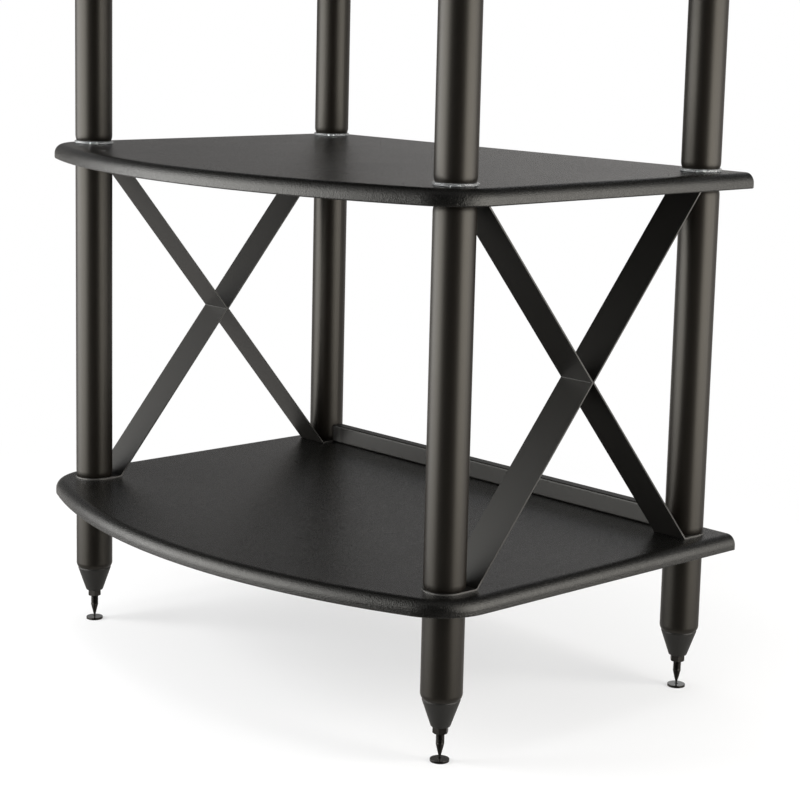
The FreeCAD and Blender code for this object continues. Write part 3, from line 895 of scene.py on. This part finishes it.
@dataclass
class StopScrews:
    """Cross-headed screws of the stop bar."""

    node: str = "record_stop_screws"
    count: int = 3
    sides: int = 48
    head_radius: float = 3.5 * MM
    head_height: float = 2.2 * MM
    rim_height: float = 1.0 * MM
    recess_half_length: float = 2.0 * MM
    recess_half_width: float = 0.45 * MM
    recess_depth: float = 1.3 * MM
    recess_wall: float = 0.25 * MM
    recess_taper: float = 0.6
    dome_rings: int = 40
    point_length: float = 3 * MM
    thread: Thread = Thread(diameter=3.5 * MM, pitch=1.4 * MM, depth=0.55 * MM)

    def head_top(self) -> Patch:
        """Dome of the head with its cross recess.

        The height over a polar grid is a circle's arc from rim to crown, less the recess. The recess
        is deepest at the middle, shallower towards the four tips, and its walls slope over a short
        distance from the outline of two crossed bars.

        Returns:
            The surface, from the middle out to the rim.
        """
        radius = np.linspace(0.0, self.head_radius, self.dome_rings)[:, None]
        turns = circle_turns(self.sides)
        x, y = radius * np.cos(turns), radius * np.sin(turns)
        dome = self.rim_height + (self.head_height - self.rim_height) * np.sqrt(
            np.clip(1 - (radius / self.head_radius) ** 2, 0, 1))
        one = np.maximum(np.abs(x) - self.recess_half_length, np.abs(y) - self.recess_half_width)
        other = np.maximum(np.abs(y) - self.recess_half_length, np.abs(x) - self.recess_half_width)
        inside = np.clip(-np.minimum(one, other) / self.recess_wall, 0, 1)
        floor = (1 - self.recess_taper * radius / self.recess_half_length).clip(0, 1)
        depth = self.recess_depth * inside * floor
        return Patch(np.stack((x, y, dome - depth), -1))

    def build(self, book: dict[Slot, bpy.types.Material]) -> None:
        """Build the screws where the plain ones stand, upright and in a row across the stand.

        Args:
            book: The finish of every slot.
        """
        low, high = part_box(self.node)
        shank_top = high.z - low.z - self.head_height
        half = self.thread.diameter / 2
        middle = (low + high) / 2
        spacing = ((high.x - low.x) - 2 * self.head_radius) / (self.count - 1)
        screws = []
        for number in range(self.count):
            place = Vector((low.x + self.head_radius + number * spacing, middle.y, low.z))
            point = lathe([(0, 0), (half, self.point_length)], self.sides)
            shank = self.thread.surface(self.point_length, shank_top, self.sides)
            under = lathe([(half, shank_top), (self.head_radius, shank_top),
                           (self.head_radius, shank_top + self.rim_height)], self.sides)
            top = put([self.head_top()], Vector((0, 0, shank_top)))
            screws += put([point, shank, under, *top], place)
        piece = weld_piece("cross_head_screws", screws, book[Slot.PLATED_STEEL])
        adopt(piece, "stand", self.node)


@dataclass
class Feet:
    """Cones, lock nuts, threaded spikes and floor discs."""

    sides: int = 48
    point_length: float = 15 * MM
    tip_radius: float = 0.2 * MM
    end_bevel: float = 0.8 * MM
    thread: Thread = Thread(diameter=7.8 * MM, pitch=1.25 * MM, depth=0.6 * MM)

    def spike(self, length: float) -> list[Patch]:
        """Pointed spike: a cone, then the thread, then a bevelled end.

        Args:
            length: From the tip to the end of the thread.

        Returns:
            Its surfaces, with the tip at the origin.
        """
        half = self.thread.diameter / 2
        top = length - self.end_bevel
        point = lathe([(0, 0), (self.tip_radius, 0), (half, self.point_length)], self.sides)
        end = lathe([(half, top), (half - self.end_bevel, length), (0, length)], self.sides)
        return [point, self.thread.surface(self.point_length, top, self.sides), end]

    def build(self, book: dict[Slot, bpy.types.Material]) -> None:
        """Build the threaded spikes and finish the other pieces of each foot.

        Args:
            book: The finish of every slot.
        """
        for corner in Corner:
            node = f"spike_{corner.value}"
            low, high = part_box(node)
            foot = (low + high) / 2
            foot.z = low.z
            surfaces = put(self.spike(high.z - low.z), foot)
            piece = weld_piece(f"threaded_{node}", surfaces, book[Slot.BLACK_STEEL])
            adopt(piece, node, node)
        dress_nodes([f"foot_cone_{corner.value}" for corner in Corner], book[Slot.CONE_COAT])
        turned = [f"{kind}_{corner.value}" for kind in ("lock_nut", "floor_disc") for corner in Corner]
        dress_nodes(turned, book[Slot.BLACK_STEEL])


def bare_material(name: str) -> tuple[bpy.types.Material, NodeSheet]:
    """Start a material of the studio, with no shader in it.

    Args:
        name: The material's name.

    Returns:
        The material and the sheet of its tree.
    """
    material = bpy.data.materials.new(name)
    material.use_nodes = True
    material.node_tree.nodes.clear()
    return material, NodeSheet(material.node_tree)


def flat_sheet(name: str, corners: Sequence[Sequence[float]],
               material: bpy.types.Material) -> bpy.types.Object:
    """Make a flat sheet of the studio.

    Args:
        name: Its name.
        corners: Its four corners, in order.
        material: What it is painted with.

    Returns:
        The new object.
    """
    mesh = bpy.data.meshes.new(name)
    mesh.from_pydata(corners, [], [(0, 1, 2, 3)])
    mesh.materials.append(material)
    sheet = bpy.data.objects.new(name, mesh)
    bpy.context.scene.collection.objects.link(sheet)
    return sheet


def hang_lamp(name: str, place: Vector, watts: float) -> bpy.types.Object:
    """Hang an area lamp that neither the camera nor the coats see.

    Args:
        name: Its name.
        place: Where it hangs.
        watts: Its power.

    Returns:
        The new object, which shines straight down.
    """
    data = bpy.data.lights.new(name, "AREA")
    data.energy = watts
    lamp = bpy.data.objects.new(name, data)
    lamp.location = place
    lamp.visible_camera = False
    lamp.visible_glossy = False
    bpy.context.scene.collection.objects.link(lamp)
    return lamp


@dataclass(frozen=True)
class Softbox:
    """A broad upright soft lamp near the stand, and its glow on the floor in front of it.

    A lamp gives its matt light, and a card with soft edges is what the coats mirror. The card's
    light follows a graph of its height, where heights below the floor stand for the lit floor,
    and it is brighter towards its first end by the tilt.
    """

    name: str
    first_end: tuple[float, float]
    last_end: tuple[float, float]
    radiance: float
    watts: float
    tilt: float = 0.0
    first_edge: float = 0.6
    last_edge: float = 0.6
    colour: Rgb = (1.0, 1.0, 1.0)
    levels: tuple[tuple[float, float], ...] = (
        (-0.50, 0.0), (-0.30, 0.17), (-0.10, 0.68), (0.08, 0.95), (0.27, 1.0), (0.65, 0.97),
        (0.95, 0.75), (1.25, 0.48), (1.60, 0.26), (2.00, 0.11), (2.60, 0.05), (3.60, 0.02),
        (4.00, 0.0))
    lamp_size: tuple[float, float] = (0.9, 1.0)
    lamp_height: float = 0.7

    @property
    def middle(self) -> Vector:
        """Middle of the card on the floor."""
        return (Vector((*self.first_end, 0.0)) + Vector((*self.last_end, 0.0))) / 2

    @property
    def half(self) -> Vector:
        """Way from the middle to the last end."""
        return (Vector((*self.last_end, 0.0)) - Vector((*self.first_end, 0.0))) / 2

    def hang(self, aim: Vector) -> None:
        """Hang the lamp.

        Args:
            aim: The point that it shines at.
        """
        place = self.middle + Vector((0.0, 0.0, self.lamp_height))
        lamp = hang_lamp(self.name + "_lamp", place, self.watts)
        lamp.rotation_euler = (place - aim).to_track_quat("Z", "Y").to_euler()
        lamp.data.shape = "RECTANGLE"
        lamp.data.size, lamp.data.size_y = self.lamp_size
        lamp.data.color = self.colour

    def stand_card(self) -> None:
        """Stand the card between its two ends, where its light fades over the width of each edge."""
        across = self.half.normalized()
        half_width = self.half.length
        side = across * (half_width + max(self.first_edge, self.last_edge) / 2)
        low = Vector((0.0, 0.0, self.levels[0][0]))
        high = Vector((0.0, 0.0, self.levels[-1][0]))
        material, sheet = bare_material(self.name + "_glow")
        reached = sheet.vector("DOT_PRODUCT", sheet.spot(), tuple(across)).outputs["Value"]
        along = sheet.calc("SUBTRACT", reached, self.middle.dot(across))
        first = sheet.fade(along, -half_width - self.first_edge / 2, -half_width + self.first_edge / 2)
        last = sheet.fade(along, half_width + self.last_edge / 2, half_width - self.last_edge / 2)
        inside = sheet.calc("MULTIPLY", first, last)
        base = self.levels[0][0]
        stops = [(mark - base, level) for mark, level in self.levels]
        upward = sheet.graph(sheet.calc("SUBTRACT", sheet.height(), base), stops, stops[-1][0])
        lean = sheet.calc("MULTIPLY_ADD", along, -self.tilt / half_width, 1.0)
        share = sheet.calc("MULTIPLY", sheet.calc("MULTIPLY", inside, upward), lean)
        glow = sheet.add("Emission", {"Color": opaque(self.colour),
                                      "Strength": sheet.calc("MULTIPLY", share, self.radiance)})
        clear = sheet.add("BsdfTransparent", {"Color": WHITE})
        both = sheet.add("AddShader", {0: glow.outputs[0], 1: clear.outputs[0]})
        sheet.add("OutputMaterial", {"Surface": both.outputs[0]})
        card = flat_sheet(self.name, (self.middle - side + low, self.middle + side + low,
                                      self.middle + side + high, self.middle - side + high), material)
        for ray in ("camera", "diffuse", "transmission", "volume_scatter", "shadow"):
            setattr(card, "visible_" + ray, False)


@dataclass
class Studio:
    """Floor, lamps and surroundings.

    Angles are in degrees, and a grey is a level where one is white. The pairs of the two graphs are
    an angle and the level there.
    """

    dark_azimuth: float = 57.0
    aim: Vector = field(default_factory=lambda: Vector((0.0, 0.0, 0.35)))
    floor_reach: float = 12.0
    floor_colour: Rgb = (0.80, 0.80, 0.80)
    floor_glow_share: float = 0.60
    shadow_reach: float = 0.55
    shadow_end: float = 1.1
    ambient: float = 0.42
    around_stops: tuple[tuple[float, float], ...] = (
        (0.0, 0.05), (60.0, 0.12), (90.0, 0.42), (130.0, 0.68), (150.0, 0.72), (163.0, 0.62),
        (175.0, 0.36), (190.0, 0.27), (205.0, 0.28), (225.0, 0.34), (255.0, 0.34), (300.0, 0.13),
        (360.0, 0.05))
    above_stops: tuple[tuple[float, float], ...] = (
        (0.0, 0.78), (9.0, 0.80), (15.0, 1.06), (20.0, 0.70), (28.0, 0.18), (90.0, 0.13))
    ceiling_grey: float = 0.22
    ceiling_starts: float = 42.0
    ceiling_full: float = 62.0
    table_grey: float = 0.5
    table_starts: float = -22.0
    table_full: float = -38.0
    backdrop_grey: float = 0.6
    backdrop_full: float = -6.0
    backdrop_half_width: float = 25.0
    low_tint: Rgb = (1.0, 0.965, 0.93)
    high_tint: Rgb = (0.985, 0.99, 1.01)
    tint_starts: float = 16.0
    tint_full: float = 10.0
    softboxes: tuple[Softbox, ...] = (
        Softbox("left_softbox", (-1.76, -0.70), (-0.02, -1.60), radiance=5.5, watts=40.0,
                tilt=-0.12, first_edge=0.95, last_edge=0.95),
        Softbox("right_softbox", (1.82, -0.13), (1.08, 1.54), radiance=4.5, watts=30.0,
                tilt=0.45, first_edge=0.6, last_edge=0.9, colour=(1.0, 0.975, 0.94)),
    )
    top_height: float = 2.2
    top_size: float = 1.4
    top_watts: float = 26.0

    def surroundings(self) -> None:
        """Set the world.

        What the camera and clear pieces see is white all round, and matt light comes evenly from
        everywhere. Coats mirror a studio. Its walls follow one graph of the bearing, counted from
        the dark side behind the camera, times one of the elevation in degrees. Where they are
        brighter, the lit table below, the backdrop behind the stand and the ceiling take the walls'
        place. Low down the light is a little warmer.
        """
        world = bpy.data.worlds.new("studio")
        bpy.context.scene.world = world
        world.use_nodes = True
        world.node_tree.nodes.clear()
        sheet = NodeSheet(world.node_tree)
        way = sheet.add("SeparateXYZ", {0: sheet.add("TexCoord").outputs["Generated"]}).outputs
        bearing = sheet.calc("ARCTAN2", way["X"], sheet.calc("MULTIPLY", way["Y"], -1.0))
        azimuth = sheet.calc("DEGREES", bearing)
        elevation = sheet.calc("DEGREES", sheet.calc("ARCSINE", way["Z"]))
        turn = sheet.calc("WRAP", sheet.calc("SUBTRACT", azimuth, self.dark_azimuth), 360.0, 0.0)
        room = sheet.calc("MULTIPLY", sheet.graph(turn, self.around_stops, 360.0),
                          sheet.graph(elevation, self.above_stops, 90.0))
        table = sheet.fade(elevation, self.table_full, self.table_starts, self.table_grey, 0.0)
        apart = sheet.calc("ABSOLUTE", sheet.calc("SUBTRACT", turn, 180.0))
        behind = sheet.fade(apart, 2 * self.backdrop_half_width, self.backdrop_half_width)
        backdrop = sheet.calc("MULTIPLY", behind, sheet.fade(
            elevation, 0.0, self.backdrop_full, 0.0, self.backdrop_grey))
        ceiling = sheet.fade(elevation, self.ceiling_starts, self.ceiling_full, 0.0, self.ceiling_grey)
        below = sheet.calc("MAXIMUM", table, backdrop)
        total = sheet.calc("MAXIMUM", sheet.calc("MAXIMUM", room, ceiling), below)
        low = sheet.fade(elevation, self.tint_starts, self.tint_full)
        mirrored = sheet.add("Background", {
            "Color": sheet.tint(low, opaque(self.high_tint), opaque(self.low_tint)), "Strength": total})
        white = sheet.add("Background", {"Color": WHITE, "Strength": 1.0})
        even = sheet.add("Background", {"Color": WHITE, "Strength": self.ambient})
        ray = sheet.add("LightPath").outputs
        glossy = sheet.add("MixShader", {
            0: ray["Is Glossy Ray"], 1: even.outputs[0], 2: mirrored.outputs[0]})
        clear = sheet.calc("MAXIMUM", ray["Is Camera Ray"], ray["Is Transmission Ray"])
        seen = sheet.add("MixShader", {0: clear, 1: glossy.outputs[0], 2: white.outputs[0]})
        sheet.add("OutputWorld", {"Surface": seen.outputs[0]})

    def lay_floor(self) -> None:
        """Lay the pale floor, which glows white for the camera and keeps the stand's shadow."""
        material, sheet = bare_material("studio_floor_paint")
        away = sheet.vector("LENGTH", sheet.spot()).outputs["Value"]
        share = sheet.fade(away, self.shadow_reach, self.shadow_end, self.floor_glow_share, 1.0)
        ray = sheet.add("LightPath").outputs
        seen = sheet.calc("MAXIMUM", ray["Is Camera Ray"], sheet.calc(
            "MAXIMUM", ray["Is Glossy Ray"], ray["Is Transmission Ray"]))
        paint = sheet.add("BsdfDiffuse", {"Color": opaque(self.floor_colour)})
        glow = sheet.add("Emission", {"Color": WHITE, "Strength": 1.0})
        mixed = sheet.add("MixShader", {
            0: sheet.calc("MULTIPLY", share, seen), 1: paint.outputs[0], 2: glow.outputs[0]})
        sheet.add("OutputMaterial", {"Surface": mixed.outputs[0]})
        reach = self.floor_reach
        corners = ((-reach, -reach, 0), (reach, -reach, 0), (reach, reach, 0), (-reach, reach, 0))
        floor = flat_sheet("studio_floor", corners, material)
        floor.visible_glossy = False

    def hang_top_lamp(self) -> None:
        """Hang the square lamp above the stand."""
        lamp = hang_lamp("top_softbox_lamp", Vector((0.0, 0.0, self.top_height)), self.top_watts)
        lamp.data.size = self.top_size

    def build(self) -> None:
        """Set up the whole studio."""
        self.surroundings()
        self.lay_floor()
        self.hang_top_lamp()
        for box in self.softboxes:
            box.hang(self.aim)
            box.stand_card()
        log.info("studio: %d soft lamps", len(self.softboxes) + 1)


@dataclass(frozen=True)
class ViewCamera:
    """Camera of the reference view, as its edges place it.

    Angles are in degrees. The focal length and the principal point are in pixels of a square frame
    that is frame_px wide.
    """

    place: tuple[float, float, float] = (1.5131, -1.3298, 0.6635)
    azimuth: float = 47.26
    pitch_down: float = 9.61
    roll: float = 1.38
    frame_px: float = 800.0
    focal_px: float = 2040.8
    principal_px: tuple[float, float] = (403.14, 348.94)
    sensor_mm: float = 36.0
    nearest: float = 0.05
    farthest: float = 60.0

    def build(self) -> None:
        """Make the camera and let the scene use it."""
        data = bpy.data.cameras.new("view")
        data.sensor_width = self.sensor_mm
        data.lens = self.focal_px * self.sensor_mm / self.frame_px
        data.shift_x = (self.frame_px / 2 - self.principal_px[0]) / self.frame_px
        data.shift_y = (self.principal_px[1] - self.frame_px / 2) / self.frame_px
        data.clip_start = self.nearest
        data.clip_end = self.farthest
        turn = (Matrix.Rotation(math.radians(self.azimuth), 4, "Z")
                @ Matrix.Rotation(math.radians(90 - self.pitch_down), 4, "X")
                @ Matrix.Rotation(math.radians(self.roll), 4, "Z"))
        camera = bpy.data.objects.new("view", data)
        camera.matrix_world = Matrix.Translation(self.place) @ turn
        bpy.context.scene.collection.objects.link(camera)
        bpy.context.scene.camera = camera


def post_effects() -> Effects:
    """Read the post axes off the CAD.

    Returns:
        The shared effects, which know where the axes stand.
    """
    front_low, front_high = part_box(f"leg_{Corner.FRONT_RIGHT.value}")
    rear_low, rear_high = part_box(f"leg_{Corner.REAR_RIGHT.value}")
    front = (front_low + front_high) / 2
    rear = (rear_low + rear_high) / 2
    return Effects(post_side=front.x, post_front=front.y, post_rear=rear.y)


def main() -> None:
    """Dress the stand and set up the view."""
    logging.basicConfig(level=logging.INFO, format="%(name)s %(message)s")
    bpy.context.scene.view_settings.view_transform = "Standard"
    book = FinishBook().build(post_effects())
    Boards().dress(book)
    Posts().dress(book)
    Bracing().dress(book)
    StopScrews().build(book)
    Feet().build(book)
    Studio().build()
    ViewCamera().build()


if __name__ == "__main__":
    main()
